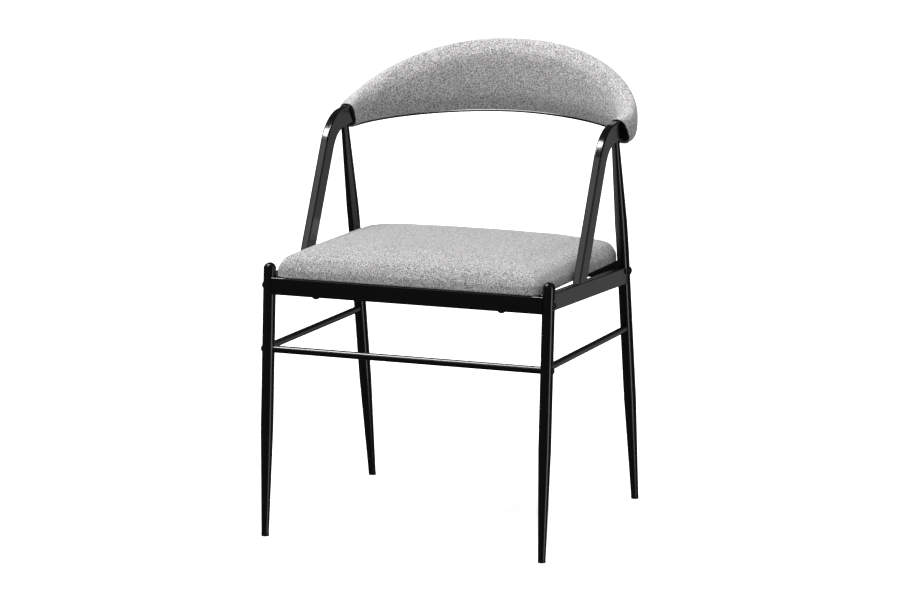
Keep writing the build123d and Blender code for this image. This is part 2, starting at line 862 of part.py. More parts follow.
with BuildPart() as spigot:
    with BuildSketch(spigot_start):
        RectangleRounded(
            arm_width - 2 * rail_wall - 2 * plug_gap, arm_depth - 2 * rail_wall - 2 * plug_gap, 1.0
        )
    extrude(amount=-spigot_length)
    add(spigot_plate(spigot_plate_thickness, spigot_plate_height, 8.0))

plate_run = (plate_path[2][0] - plate_path[1][0], plate_path[2][1] - plate_path[1][1])
plate_long = math.hypot(*plate_run)
plate_out = Vector(plate_run[1] / plate_long, -plate_run[0] / plate_long, 0)
screw_planes = []
for share in (0.6, 0.88):
    screw_planes.append(Plane(
        origin=(
            plate_path[1][0] + plate_run[0] * share + plate_out.X * spigot_plate_thickness / 2,
            plate_path[1][1] + plate_run[1] * share + plate_out.Y * spigot_plate_thickness / 2,
            arm_end[1],
        ),
        x_dir=(0, 0, 1),
        z_dir=plate_out,
    ))

with BuildPart() as spigot_holes:
    for screw_plane in screw_planes:
        with BuildSketch(screw_plane.offset(1.0)):
            Circle(spigot_screw_radius + 0.05)
        extrude(amount=-16.0)

with BuildPart() as spigot_drilled:
    add(spigot.part)
    add(spigot_holes.part, mode=Mode.SUBTRACT)
save_pair(spigot_drilled.part, "backrest_spigot")

with BuildPart() as spigot_screw_pair:
    for screw_plane in screw_planes:
        add(domed_head(screw_plane, 4.5, 2.6, 1.6))
        with BuildSketch(screw_plane):
            Circle(spigot_screw_radius)
        extrude(amount=-9.5)
save(both_sides(spigot_screw_pair.part), "backrest_screws")

plate_rebate = spigot_plate(
    spigot_plate_thickness + 2 * plug_gap, spigot_plate_height + 2 * plug_gap, 8.0
)
with BuildPart() as drilled_board:
    add(backrest_board)
    add(spigot_holes.part, mode=Mode.SUBTRACT)
    add(mirrored(spigot_holes.part), mode=Mode.SUBTRACT)
    add(plate_rebate, mode=Mode.SUBTRACT)
    add(mirrored(plate_rebate), mode=Mode.SUBTRACT)
save(drilled_board.part, "backrest_board")


# ---- backrest foam ------------------------------------------------------------------------
def board_clearance_size(angle):
    thickness, bottom, top = board_size(angle)
    return thickness + 2 * soft_gap, bottom - soft_gap, top + soft_gap


board_clearance = backrest_loft(
    board_first_angle - 0.5, 9, board_clearance_size, backrest_board_shift
)
spigot_clearance = spigot_plate(16.0, 32.0, 9.0)
with BuildPart() as backrest_foam:
    add(foam_block)
    split(bisect_by=mouth_cut(collar_inside + 0.5), keep=Keep.TOP)
    add(board_clearance, mode=Mode.SUBTRACT)
    for cutter in (arm_clearance, spigot_clearance):
        add(cutter, mode=Mode.SUBTRACT)
        add(mirrored(cutter), mode=Mode.SUBTRACT)
save(backrest_foam.part, "backrest_foam")
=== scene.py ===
"""Looks of a dining chair: black steel frame, heather seat and a curved padded backrest."""
import json
import math

import bmesh
import bpy
import numpy as np
from mathutils import Matrix, Vector


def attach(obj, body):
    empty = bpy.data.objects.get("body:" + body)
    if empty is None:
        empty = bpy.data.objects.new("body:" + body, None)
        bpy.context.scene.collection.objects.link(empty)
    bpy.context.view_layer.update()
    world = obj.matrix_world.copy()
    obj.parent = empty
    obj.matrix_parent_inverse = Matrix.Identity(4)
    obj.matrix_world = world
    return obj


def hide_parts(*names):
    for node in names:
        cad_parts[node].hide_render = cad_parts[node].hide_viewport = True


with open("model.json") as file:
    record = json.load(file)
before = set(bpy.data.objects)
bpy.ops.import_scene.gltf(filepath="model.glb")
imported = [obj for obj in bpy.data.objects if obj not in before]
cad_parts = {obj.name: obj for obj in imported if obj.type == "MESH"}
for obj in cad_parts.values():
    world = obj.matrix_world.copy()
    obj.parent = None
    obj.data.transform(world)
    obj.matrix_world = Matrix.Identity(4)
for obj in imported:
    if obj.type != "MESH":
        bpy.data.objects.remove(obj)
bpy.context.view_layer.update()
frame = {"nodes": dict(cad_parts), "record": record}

# ---- shared dimensions, metres --------------------------------------------------------------
LEG_TOP_Y = -0.2583                 # front legs' tops
SEAT_HALF_WIDTH = 0.2405
SEAT_BULGE = 0.0052                 # the padding bulges this far over the front rail
SEAT_FRONT = LEG_TOP_Y - 0.008 - SEAT_BULGE
SEAT_DEPTH = 0.408 + SEAT_BULGE
SEAT_ANGLE = math.atan2(0.4485 - 0.4406, 0.3822)
SEAT_BASE_Z = 0.4485 + 0.00035
SEAT_CROWN = 0.051

BACK_A = 0.257                      # plan ellipse of the backrest's middle surface
BACK_CENTRE_Y = LEG_TOP_Y + 0.372
BACK_B = 0.295 - 0.0225 - BACK_CENTRE_Y
MOUTH_SLANT = math.tan(math.radians(28))
MOUTH_Y = LEG_TOP_Y + 0.355
MOUTH_Z = 0.6758
BACK_TOP, BACK_TOP_FALL = 0.8034, 0.108
BACK_BOTTOM, BACK_BOTTOM_FALL = 0.6739, 0.019
BACK_THICK, MOUTH_THICK = 0.045, 0.026
MOUTH_TURN = 98                     # degrees round the ellipse, from the middle to a mouth
FALL_TURN = 104                     # where the top edge would stop falling

scene = bpy.context.scene


# ---- node helpers ---------------------------------------------------------------------------
class Nodes:
    """Short notation for building a material's node tree."""

    def __init__(self, name):
        self.material = bpy.data.materials.new(name)
        self.material.use_nodes = True
        self.tree = self.material.node_tree
        self.tree.nodes.clear()
        self.out = self.tree.nodes.new("ShaderNodeOutputMaterial")
        self.shader = self.tree.nodes.new("ShaderNodeBsdfPrincipled")
        self.link(self.shader.outputs[0], self.out.inputs["Surface"])

    def link(self, a, b):
        self.tree.links.new(a, b)

    def node(self, kind, props=None, **inputs):
        n = self.tree.nodes.new(kind)
        for key, value in (props or {}).items():
            setattr(n, key, value)
        for key, value in inputs.items():
            numbered = key[0] == "i" and key[1:].isdigit()
            socket = n.inputs[int(key[1:])] if numbered else n.inputs[key]
            if isinstance(value, bpy.types.NodeSocket):
                self.link(value, socket)
            else:
                socket.default_value = value
        return n

    def math(self, op, a, b=0.0, c=0.0):
        return self.node("ShaderNodeMath", {"operation": op}, i0=a, i1=b, i2=c).outputs[0]

    def vec(self, op, a, b=(0, 0, 0), scale=None):
        n = self.node("ShaderNodeVectorMath", {"operation": op}, i0=a, i1=b)
        if scale is not None:
            n.inputs["Scale"].default_value = scale
        return n.outputs[0]

    def ramp(self, value, low, high, out_low=0.0, out_high=1.0):
        n = self.node("ShaderNodeMapRange", {"clamp": True})
        self.link(value, n.inputs["Value"])
        n.inputs["From Min"].default_value = low
        n.inputs["From Max"].default_value = high
        n.inputs["To Min"].default_value = out_low
        n.inputs["To Max"].default_value = out_high
        return n.outputs["Result"]

    def noise(self, coords, scale, detail=2.0, rough=0.5):
        n = self.node("ShaderNodeTexNoise", {"noise_dimensions": "3D"}, Vector=coords)
        n.inputs["Scale"].default_value = scale
        n.inputs["Detail"].default_value = detail
        n.inputs["Roughness"].default_value = rough
        return n.outputs["Fac"]

    def colours(self, value, stops):
        n = self.tree.nodes.new("ShaderNodeValToRGB")
        ramp = n.color_ramp
        ramp.elements[0].position, ramp.elements[0].color = stops[0][0], (*stops[0][1], 1)
        ramp.elements[1].position, ramp.elements[1].color = stops[-1][0], (*stops[-1][1], 1)
        for position, colour in stops[1:-1]:
            ramp.elements.new(position).color = (*colour, 1)
        self.link(value, n.inputs["Fac"])
        return n.outputs["Color"]

    def bump(self, height, strength, distance):
        n = self.node("ShaderNodeBump", Height=height)
        n.inputs["Strength"].default_value = strength
        n.inputs["Distance"].default_value = distance
        self.link(n.outputs["Normal"], self.shader.inputs["Normal"])

    def set(self, **values):
        names = {
            "colour": "Base Color", "rough": "Roughness", "metal": "Metallic",
            "spec": "Specular IOR Level", "sheen": "Sheen Weight", "sheen_rough": "Sheen Roughness",
            "sheen_tint": "Sheen Tint",
        }
        for key, value in values.items():
            socket = self.shader.inputs[names[key]]
            if isinstance(value, bpy.types.NodeSocket):
                self.link(value, socket)
            elif key in ("colour", "sheen_tint"):
                socket.default_value = (*value, 1)
            else:
                socket.default_value = value


def object_coords(m):
    return m.node("ShaderNodeTexCoord").outputs["Object"]


def powder_coat(name, colour, rough_low, rough_high, spec, grain=1.0):
    """Satin powder coat: fine orange peel, slight cloudiness in gloss and tone."""
    m = Nodes(name)
    where = object_coords(m)
    peel = m.noise(where, 1400, 2.0)
    cloud = m.noise(where, 18, 3.0)
    fine = m.noise(where, 260, 4.0, 0.6)
    mixed = m.math("MULTIPLY_ADD", fine, 0.5, m.math("MULTIPLY", cloud, 0.5))
    tone = m.colours(mixed, [
        (0.30, [c * 0.75 for c in colour]), (0.55, colour), (0.80, [c * 1.45 for c in colour]),
    ])
    m.set(colour=tone, rough=m.ramp(mixed, 0.3, 0.7, rough_low, rough_high), spec=spec, metal=0.0)
    m.bump(m.math("MULTIPLY_ADD", peel, 0.6, m.math("MULTIPLY", fine, 0.4)), 0.10 * grain, 0.0004)
    return m.material


def plated(name, colour, rough):
    m = Nodes(name)
    where = object_coords(m)
    streaks = m.noise(m.vec("MULTIPLY", where, (300, 300, 2500)), 1.0, 3.0)
    tone = m.colours(streaks, [(0.3, [c * 0.8 for c in colour]), (0.7, colour)])
    m.set(colour=tone, rough=m.ramp(streaks, 0.3, 0.7, rough, rough + 0.15), metal=1.0)
    m.bump(streaks, 0.15, 0.0002)
    return m.material


def plywood(name):
    m = Nodes(name)
    where = object_coords(m)
    stretched = m.vec("MULTIPLY", where, (4, 60, 60))
    warped = m.node("ShaderNodeTexWave", {"wave_type": "BANDS"}, Vector=stretched)
    warped.inputs["Scale"].default_value = 0.6
    warped.inputs["Distortion"].default_value = 7.0
    warped.inputs["Detail"].default_value = 3.0
    fibres = m.noise(m.vec("MULTIPLY", where, (30, 900, 900)), 1.0, 4.0)
    grain = m.math("MULTIPLY_ADD", warped.outputs["Fac"], 0.6, m.math("MULTIPLY", fibres, 0.4))
    m.set(colour=m.colours(grain, [
        (0.2, (0.40, 0.26, 0.14)), (0.5, (0.58, 0.41, 0.24)), (0.85, (0.70, 0.54, 0.36)),
    ]), rough=0.6)
    m.bump(grain, 0.2, 0.0004)
    return m.material


def foam(name):
    m = Nodes(name)
    where = object_coords(m)
    cells = m.node("ShaderNodeTexVoronoi", {"feature": "F1"}, Vector=where)
    cells.inputs["Scale"].default_value = 700
    size = cells.outputs["Distance"]
    m.set(colour=m.colours(size, [(0.1, (0.62, 0.56, 0.36)), (0.6, (0.82, 0.78, 0.60))]), rough=0.9)
    m.bump(size, 0.6, 0.0006)
    return m.material


def lining(name):
    """Black non-woven lining: random pressed fibres with a faint embossed dot grid."""
    m = Nodes(name)
    where = object_coords(m)
    fibres = m.noise(where, 900, 4.0, 0.65)
    dots = m.node("ShaderNodeTexVoronoi", {"feature": "F1"}, Vector=where)
    dots.inputs["Scale"].default_value = 420
    dots.inputs["Randomness"].default_value = 0.15
    height = m.math("MULTIPLY_ADD", fibres, 0.6, m.math("MULTIPLY", dots.outputs["Distance"], 0.4))
    m.set(colour=m.colours(fibres, [(0.3, (0.006, 0.006, 0.007)), (0.7, (0.022, 0.022, 0.023))]),
          rough=0.85, spec=0.2)
    m.bump(height, 0.5, 0.0004)
    return m.material


def heather(name, dark, light, pitch):
    """Heathered woven upholstery: plain weave of thick yarns, each crossing its own grey."""
    m = Nodes(name)
    cloth = m.node("ShaderNodeAttribute", {"attribute_name": "cloth"}).outputs["Vector"]
    where = object_coords(m)
    wobble = m.node("ShaderNodeTexNoise", Vector=where)
    wobble.inputs["Scale"].default_value = 90
    wobble.inputs["Detail"].default_value = 2.0
    drift = m.vec("SCALE", m.vec("SUBTRACT", wobble.outputs["Color"], (0.5, 0.5, 0.5)),
                  scale=pitch * 1.6)
    threads = m.vec("SCALE", m.vec("ADD", cloth, drift), scale=1 / pitch)
    split = m.node("ShaderNodeSeparateXYZ", i0=threads)
    u, v = split.outputs[0], split.outputs[1]
    column, row = m.math("FLOOR", u), m.math("FLOOR", v)
    over_u = m.math("SINE", m.math("MULTIPLY", m.math("ADD", v, column), math.pi))
    over_v = m.math("SINE", m.math("MULTIPLY", m.math("ADD", m.math("ADD", u, row), 1.0), math.pi))
    round_u = m.math("ABSOLUTE", m.math("SINE", m.math("MULTIPLY", u, math.pi)))
    round_v = m.math("ABSOLUTE", m.math("SINE", m.math("MULTIPLY", v, math.pi)))
    warp = m.math("MULTIPLY", m.math("POWER", round_u, 0.6), m.ramp(over_u, -1.0, 1.0, 0.15, 1.0))
    weft = m.math("MULTIPLY", m.math("POWER", round_v, 0.6), m.ramp(over_v, -1.0, 1.0, 0.15, 1.0))
    is_warp = m.math("GREATER_THAN", warp, weft)
    height = m.math("MAXIMUM", warp, weft)
    cell = m.node("ShaderNodeCombineXYZ")
    m.link(column, cell.inputs[0])
    m.link(row, cell.inputs[1])
    m.link(is_warp, cell.inputs[2])
    speck = m.node("ShaderNodeTexWhiteNoise", {"noise_dimensions": "3D"}, Vector=cell.outputs[0])
    flecks = m.noise(cloth, 520, 2.0, 0.7)
    fuzz = m.noise(where, 2600, 3.0, 0.7)
    cloudy = m.noise(cloth, 26, 2.0)
    mixed = m.math("MULTIPLY_ADD", speck.outputs["Value"], 0.42,
                   m.math("MULTIPLY_ADD", m.ramp(flecks, 0.32, 0.68), 0.46,
                          m.math("MULTIPLY_ADD", fuzz, 0.08, m.math("MULTIPLY", cloudy, 0.04))))
    middle = [(a + b) / 2 for a, b in zip(dark, light)]
    tone = m.colours(mixed, [(0.23, dark), (0.5, middle), (0.77, light)])
    shade = m.ramp(height, 0.1, 0.9, 0.62, 1.0)
    shaded = m.node("ShaderNodeMix", {"data_type": "RGBA", "blend_type": "MULTIPLY"})
    shaded.inputs["Factor"].default_value = 1.0
    m.link(tone, shaded.inputs[6])
    m.link(shade, shaded.inputs[7])
    m.set(colour=shaded.outputs[2], rough=0.92, spec=0.25, sheen=0.25, sheen_rough=0.5,
          sheen_tint=(0.9, 0.92, 0.95))
    m.bump(m.math("MULTIPLY_ADD", fuzz, 0.35, height), 0.55, 0.0005)
    return m.material


black = powder_coat("black_powder_coat", (0.0026, 0.0028, 0.0033), 0.13, 0.19, 0.9, 0.3)
bolt_black = powder_coat("black_bolt", (0.008, 0.008, 0.0085), 0.18, 0.28, 0.5, 0.5)
cap_plastic = powder_coat("cap_plastic", (0.005, 0.005, 0.0055), 0.10, 0.18, 0.45, 0.3)
glide_plastic = powder_coat("glide_plastic", (0.012, 0.012, 0.0125), 0.40, 0.55, 0.4, 2.0)
zinc = plated("zinc_plate", (0.62, 0.63, 0.64), 0.28)
board = plywood("plywood")
foam_core = foam("foam_core")
dust_cloth = lining("dust_cloth")
seat_cloth = heather("seat_heather", (0.112, 0.109, 0.111), (0.69, 0.674, 0.682), 0.0018)
# the backrest's heather is the seat's heather made about a third lighter: painted light, standing
# in for light the lamps don't bring to the backrest
back_cloth = heather("backrest_heather", (0.130, 0.127, 0.130), (0.88, 0.858, 0.876), 0.0018)

slot_looks = {
    "black_steel": black, "bolt_steel": bolt_black, "black_plastic": cap_plastic,
    "glide_plastic": glide_plastic, "zinc_steel": zinc, "plywood": board, "foam": foam_core,
    "lining": dust_cloth, "seat_fabric": seat_cloth, "backrest_fabric": back_cloth,
}
for part in frame["record"]["subparts"]:
    node = frame["nodes"][part["node"]]
    node.data.materials.clear()
    node.data.materials.append(slot_looks[part["material_slot"]])
    if part["node"].startswith(("arm_", "side_rail_", "front_rail", "rear_rail")):
        # long flat faces keep their own normal next to the small faces of the bends
        flat_faces = node.modifiers.new("flat_faces", "WEIGHTED_NORMAL")
        flat_faces.weight = 100


# ---- mesh helpers ---------------------------------------------------------------------------
def new_object(name, verts, faces, material, smooth=True):
    mesh = bpy.data.meshes.new(name)
    mesh.from_pydata([tuple(v) for v in verts], [], faces)
    mesh.update()
    if smooth:
        mesh.shade_smooth()
    mesh.materials.append(material)
    piece = bpy.data.objects.new(name, mesh)
    scene.collection.objects.link(piece)
    return piece


def points_of(piece):
    co = np.zeros(len(piece.data.vertices) * 3)
    piece.data.vertices.foreach_get("co", co)
    return co.reshape(-1, 3)


def set_points(piece, co):
    piece.data.vertices.foreach_set("co", co.ravel())
    piece.data.update()


def store_cloth(piece, coords):
    """Keeps where each point lies on the flat cloth, for the weave."""
    layer = piece.data.attributes.new("cloth", "FLOAT_VECTOR", "POINT")
    layer.data.foreach_set("vector", np.asarray(coords, float).ravel())


def inflate(piece, pinned, pressure, cap, frames=20, stiffness=18.0):
    """Blows the piece up as cloth under pressure, its pinned points held, and keeps the result."""
    start = points_of(piece)
    group = piece.vertex_groups.new(name="pinned")
    for index in np.nonzero(pinned > 0)[0]:
        group.add([int(index)], float(pinned[index]), "REPLACE")
    cloth = piece.modifiers.new("cloth", "CLOTH")
    settings = cloth.settings
    settings.quality = 6
    settings.mass = 0.25
    settings.tension_stiffness = stiffness
    settings.compression_stiffness = stiffness
    settings.shear_stiffness = stiffness * 0.5
    settings.bending_stiffness = 0.6
    settings.vertex_group_mass = "pinned"
    settings.use_pressure = True
    settings.uniform_pressure_force = pressure
    settings.effector_weights.gravity = 0.0
    cloth.collision_settings.use_collision = False
    cloth.point_cache.frame_start = 1
    cloth.point_cache.frame_end = frames
    for f in range(1, frames + 1):
        scene.frame_set(f)
    settled = piece.evaluated_get(bpy.context.evaluated_depsgraph_get())
    co = np.zeros(len(settled.data.vertices) * 3)
    settled.data.vertices.foreach_get("co", co)
    moved = co.reshape(-1, 3) - start
    # the filling stops the cover from sinking in, so points only move out along their normals
    normals = np.zeros(len(start) * 3)
    piece.data.vertices.foreach_get("normal", normals)
    normals = normals.reshape(-1, 3)
    out = np.sum(moved * normals, axis=1, keepdims=True)
    moved += normals * (np.maximum(out, -0.0003) - out)
    # the batting under the cover spreads small creases
    ends = np.array([edge.vertices for edge in piece.data.edges])
    degree = np.bincount(ends.ravel(), minlength=len(start))[:, None]
    for _ in range(14):
        spread = np.zeros_like(moved)
        np.add.at(spread, ends[:, 0], moved[ends[:, 1]])
        np.add.at(spread, ends[:, 1], moved[ends[:, 0]])
        moved = 0.5 * moved + 0.5 * spread / degree
    piece.modifiers.remove(cloth)
    piece.vertex_groups.remove(group)
    length = np.linalg.norm(moved, axis=1, keepdims=True)
    limited = cap * np.tanh(length / cap)
    set_points(piece, start + moved * limited / np.maximum(length, 1e-9))
    scene.frame_set(1)
    print("inflated", piece.name, "largest move mm", round(float(length.max()) * 1000, 2))


# ---- seat cushion ---------------------------------------------------------------------------
def cube_sphere_grid(nx, ny, nz):
    """Closed quad grid on the surface of a box of nx by ny by nz cells; points in 0..1."""
    index, verts, faces = {}, [], []

    def quad(*corners):
        for key in corners:
            if key not in index:
                index[key] = len(verts)
                verts.append((key[0] / nx, key[1] / ny, key[2] / nz))
        faces.append([index[key] for key in corners])

    for i in range(nx):
        for j in range(ny):
            quad((i, j, nz), (i + 1, j, nz), (i + 1, j + 1, nz), (i, j + 1, nz))
            quad((i, j + 1, 0), (i + 1, j + 1, 0), (i + 1, j, 0), (i, j, 0))
    for i in range(nx):
        for k in range(nz):
            quad((i, 0, k), (i + 1, 0, k), (i + 1, 0, k + 1), (i, 0, k + 1))
            quad((i + 1, ny, k), (i, ny, k), (i, ny, k + 1), (i + 1, ny, k + 1))
    for j in range(ny):
        for k in range(nz):
            quad((0, j + 1, k), (0, j, k), (0, j, k + 1), (0, j + 1, k + 1))
            quad((nx, j, k), (nx, j + 1, k), (nx, j + 1, k + 1), (nx, j, k + 1))
    return np.array(verts), faces, index


def developed(co, index, nx, ny, nz):
    """Where each point of the boxy grid lies on the cloth, flat from the middle of the top."""
    cloth = co.copy()
    cloth[:, 2] = 0

    def along(keys, middle):
        rows = [index[key] for key in keys]
        steps = np.linalg.norm(np.diff(co[rows], axis=0), axis=1)
        run = np.concatenate([[0], np.cumsum(steps)])
        return rows, run - run[middle]

    across, back = {}, {}
    for j in range(ny + 1):
        keys = [(0, j, k) for k in range(nz)] + [(i, j, nz) for i in range(nx + 1)]
        keys += [(nx, j, k) for k in range(nz - 1, -1, -1)]
        across.update(zip(*along(keys, nz + nx // 2)))
    for i in range(nx + 1):
        keys = [(i, 0, k) for k in range(nz)] + [(i, j, nz) for j in range(ny + 1)]
        keys += [(i, ny, k) for k in range(nz - 1, -1, -1)]
        back.update(zip(*along(keys, nz + ny // 2)))
    for (i, j, k), row in index.items():
        if k == 0 and 0 < i < nx and 0 < j < ny:
            continue
        rim = index[(i, j, nz)]
        cloth[row, 0] = across[row] if row in across else across[rim]
        cloth[row, 1] = back[row] if row in back else back[rim]
    return cloth


SEAT_FRONT_RISE = (LEG_TOP_Y - SEAT_FRONT) * math.tan(SEAT_ANGLE)
SEAT_MATRIX = (
    Matrix.Translation((0, SEAT_FRONT, SEAT_BASE_Z + SEAT_FRONT_RISE))
    @ Matrix.Rotation(-SEAT_ANGLE, 4, "X")
)
SEAT_GRID = (88, 74, 8)             # cells across, back and up the cushion


def seat_cushion():
    """Crowned pad in its own frame: x across, y back from the front edge, z up from the rails."""
    half_x, half_y = SEAT_HALF_WIDTH - 0.0006, SEAT_DEPTH / 2 - 0.0006
    corner = 0.021                  # radius of the upright corners
    side = 0.017                    # height of the upright sides
    crown_rise = 0.010              # how far the middle stands above the edge's rounding
    span = 0.033                    # how far in from the edge the rounding reaches
    top_round = SEAT_CROWN - side - crown_rise - 0.003
    unit, faces, index = cube_sphere_grid(*SEAT_GRID)
    co = np.zeros_like(unit)
    for n, (a, b, c) in enumerate(unit):
        x, y = (a * 2 - 1), (b * 2 - 1)
        reach = max(abs(x), abs(y))
        # outline point in the direction of (x, y), on a rounded rectangle
        ex, ey = half_x - corner, half_y - corner
        if reach > 1e-9:
            sx, sy = x / reach, y / reach
        else:
            sx = sy = 0.0
        px, py = sx * half_x, sy * half_y
        if abs(px) > ex and abs(py) > ey:
            dx, dy = abs(px) - ex, abs(py) - ey
            t = math.atan2(dy, dx)
            px = math.copysign(ex + corner * math.cos(t), px)
            py = math.copysign(ey + corner * math.sin(t), py)
        inset = 1 - reach
        if c == 1.0:
            dist = min(half_x * (1 - abs(x)), half_y * (1 - abs(y)))
            t = min(1.0, dist / span)
            z = side + top_round * math.sqrt(max(0.0, 1 - (1 - t) ** 2.2))
            z += crown_rise * (1 - (abs(x) ** 2.6)) * (1 - (abs(y) ** 2.6))
            co[n] = (px * (1 - inset), py * (1 - inset), z)
        elif c == 0.0:
            co[n] = (px * (1 - inset), py * (1 - inset), 0.0)
        else:
            co[n] = (px, py, side * c)
    co[:, 1] += SEAT_DEPTH / 2
    return new_object("seat_cushion", co, faces, seat_cloth), index


cushion, seat_index = seat_cushion()
rest = points_of(cushion)
hold = np.clip(1 - (rest[:, 2] - 0.002) / 0.010, 0, 1)
inflate(cushion, hold, 4.0, 0.008)
store_cloth(cushion, developed(points_of(cushion), seat_index, *SEAT_GRID))
cushion.matrix_world = SEAT_MATRIX
smoothing = cushion.modifiers.new("smooth", "SUBSURF")
smoothing.levels = smoothing.render_levels = 1
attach(cushion, "root")
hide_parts("seat_cover", "seat_foam")


# ---- backrest -------------------------------------------------------------------------------
RING = 72                           # points round the sleeve, from the bottom edge
HALF_STATIONS = 84                  # from a mouth to the middle


def back_point(angle, k, shrink):
    """Point k of the upright section at an angle on the backrest's plan ellipse."""
    turned = abs(angle - 90)
    ease = (turned / FALL_TURN) ** 1.168
    top = BACK_TOP - BACK_TOP_FALL * ease ** 2 * (3 - 2 * ease)
    swing = math.sin(math.radians(min(turned * 0.918, 90)))
    bottom = BACK_BOTTOM - BACK_BOTTOM_FALL * swing ** 1.756
    share = turned / MOUTH_TURN
    swell = min(1.0, max(0.0, (share - 0.78) / 0.17)) ** 2    # the ends close over the collars
    half_t = (BACK_THICK - (BACK_THICK - MOUTH_THICK) * share ** 2) / 2 - shrink + 0.0014 * swell
    half_h = (top - bottom) / 2 - shrink + 0.0028 * swell
    turn = math.radians(angle)
    along = Vector((-BACK_A * math.sin(turn), BACK_B * math.cos(turn), 0)).normalized()
    outward = Vector((along.y, -along.x, 0))
    a = 2 * math.pi * k / RING - math.pi / 2
    c, s = math.cos(a), math.sin(a)
    across = half_t * math.copysign(abs(c) ** 0.66, c)
    rise = half_h * math.copysign(abs(s) ** 0.80, s)
    return Vector((
        BACK_A * math.cos(turn) + outward.x * across,
        BACK_CENTRE_Y + BACK_B * math.sin(turn) + outward.y * across,
        (top + bottom) / 2 + rise,
    ))


def mouth_angle(k, shrink, mouth_y):
    """Angle at which line k of the sleeve meets the slanted plane of its open end."""
    low, high = -40.0, 30.0
    for _ in range(30):
        middle = (low + high) / 2
        p = back_point(middle, k, shrink)
        if p.y + (p.z - MOUTH_Z) * MOUTH_SLANT < mouth_y:
            low = middle
        else:
            high = middle
    return low


def backrest_sleeve(shrink):
    """Sleeve as a grid of rings with both ends turned in, and its number of rings."""
    verts, faces = [], []
    rows = 2 * HALF_STATIONS + 1
    starts = {side: [mouth_angle(k, shrink, MOUTH_Y + shift) for k in range(RING)]
              for side, shift in (("right", 0.0), ("left", -0.004))}
    for i in range(rows):
        near = min(i, rows - 1 - i) / HALF_STATIONS
        eased = 0.45 * near + 0.55 * near ** 2
        side = "left" if i <= HALF_STATIONS else "right"
        for k in range(RING):
            angle = starts[side][k] + (90 - starts[side][k]) * eased
            verts.append(back_point(angle if side == "left" else 180 - angle, k, shrink))
    for i in range(rows - 1):
        for k in range(RING):
            a, b = i * RING + k, i * RING + (k + 1) % RING
            faces.append([a, b, b + RING, a + RING])
    for first, step in ((0, 1), ((rows - 1) * RING, -1)):
        ring = list(range(first, first + RING))
        for fold, back in ((0.0016, 0.0002), (0.0024, 0.0022), (0.0026, 0.0100)):
            inner = []
            centre = sum((verts[n] for n in range(first, first + RING)), Vector()) / RING
            for k in range(RING):
                outer = verts[first + k]
                run = (verts[first + k + step * RING * 3] - outer).normalized()
                inwards = centre - outer
                inwards -= run * inwards.dot(run)
                inner.append(len(verts))
                verts.append(outer + inwards.normalized() * fold + run * back)
            for k in range(RING):
                k2 = (k + 1) % RING
                faces.append([ring[k], inner[k], inner[k2], ring[k2]])
            ring = inner
        faces.append(ring)
    piece = new_object("backrest_sleeve", verts, faces, back_cloth)
    grid = bmesh.new()
    grid.from_mesh(piece.data)
    bmesh.ops.recalc_face_normals(grid, faces=grid.faces)
    grid.to_mesh(piece.data)
    grid.free()
    return piece, rows


def sleeve_cloth(co, rows):
    """Flat cloth place of each ring point, from the top edge, and its distance from a mouth."""
    rings = co[:rows * RING].reshape(rows, RING, 3)
    round_steps = np.linalg.norm(np.diff(rings, axis=1), axis=2)
    runs = np.concatenate([np.zeros((rows, 1)), np.cumsum(round_steps, axis=1)], axis=1)
    runs -= runs[:, RING // 2][:, None]
    along_steps = np.linalg.norm(np.diff(rings, axis=0), axis=2)
    along = np.concatenate([np.zeros((1, RING)), np.cumsum(along_steps, axis=0)], axis=0)
    from_mouth = np.minimum(along, along[-1][None] - along)
    along -= along[HALF_STATIONS][None]
    cloth = np.zeros((len(co), 3))
    cloth[:rows * RING, 0] = along.ravel()
    cloth[:rows * RING, 1] = runs.ravel()
    extra = len(co) - rows * RING
    half = extra // 2
    for side, base in ((0, 0), (1, (rows - 1) * RING)):
        for n in range(half):
            cloth[rows * RING + side * half + n] = cloth[base + n % RING]
    return cloth, from_mouth.ravel()


def press_seam(piece, distance, place, width, depth):
    """Pulls a stitched line into the cloth: points near the place sink along their normals."""
    normals = np.zeros(len(piece.data.vertices) * 3)
    piece.data.vertices.foreach_get("normal", normals)
    normals = normals.reshape(-1, 3)
    co = points_of(piece)
    sink = depth * np.exp(-((distance - place) / width) ** 2)
    co[:len(distance)] -= normals[:len(distance)] * sink[:, None]
    set_points(piece, co)


sleeve, sleeve_rows = backrest_sleeve(-0.0003)
from_mouth = sleeve_cloth(points_of(sleeve), sleeve_rows)[1]
hold = np.ones(len(sleeve.data.vertices))
hold[:len(from_mouth)] = np.clip(1 - from_mouth / 0.012, 0, 1)
inflate(sleeve, hold, 4.0, 0.006)
press_seam(sleeve, from_mouth, 0.009, 0.0018, 0.0009)
store_cloth(sleeve, sleeve_cloth(points_of(sleeve), sleeve_rows)[0])
smoothing = sleeve.modifiers.new("smooth", "SUBSURF")
smoothing.levels = smoothing.render_levels = 1
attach(sleeve, "root")
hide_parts("backrest_cover", "backrest_foam")


# ---- floor, light, camera -------------------------------------------------------------------
def floor_material():
    m = Nodes("floor")
    where = object_coords(m)
    tone = m.noise(where, 3.0, 3.0)
    m.set(colour=m.colours(tone, [(0.3, (0.90, 0.90, 0.90)), (0.7, (0.93, 0.93, 0.93))]),
          rough=0.9, spec=0.1)
    m.shader.inputs["Emission Color"].default_value = (1, 1, 1, 1)
    m.shader.inputs["Emission Strength"].default_value = 0.65
    return m.material


floor = new_object(
    "floor", [(-30, -30, 0), (30, -30, 0), (30, 30, 0), (-30, 30, 0)], [[0, 1, 2, 3]],
    floor_material(), smooth=False,
)

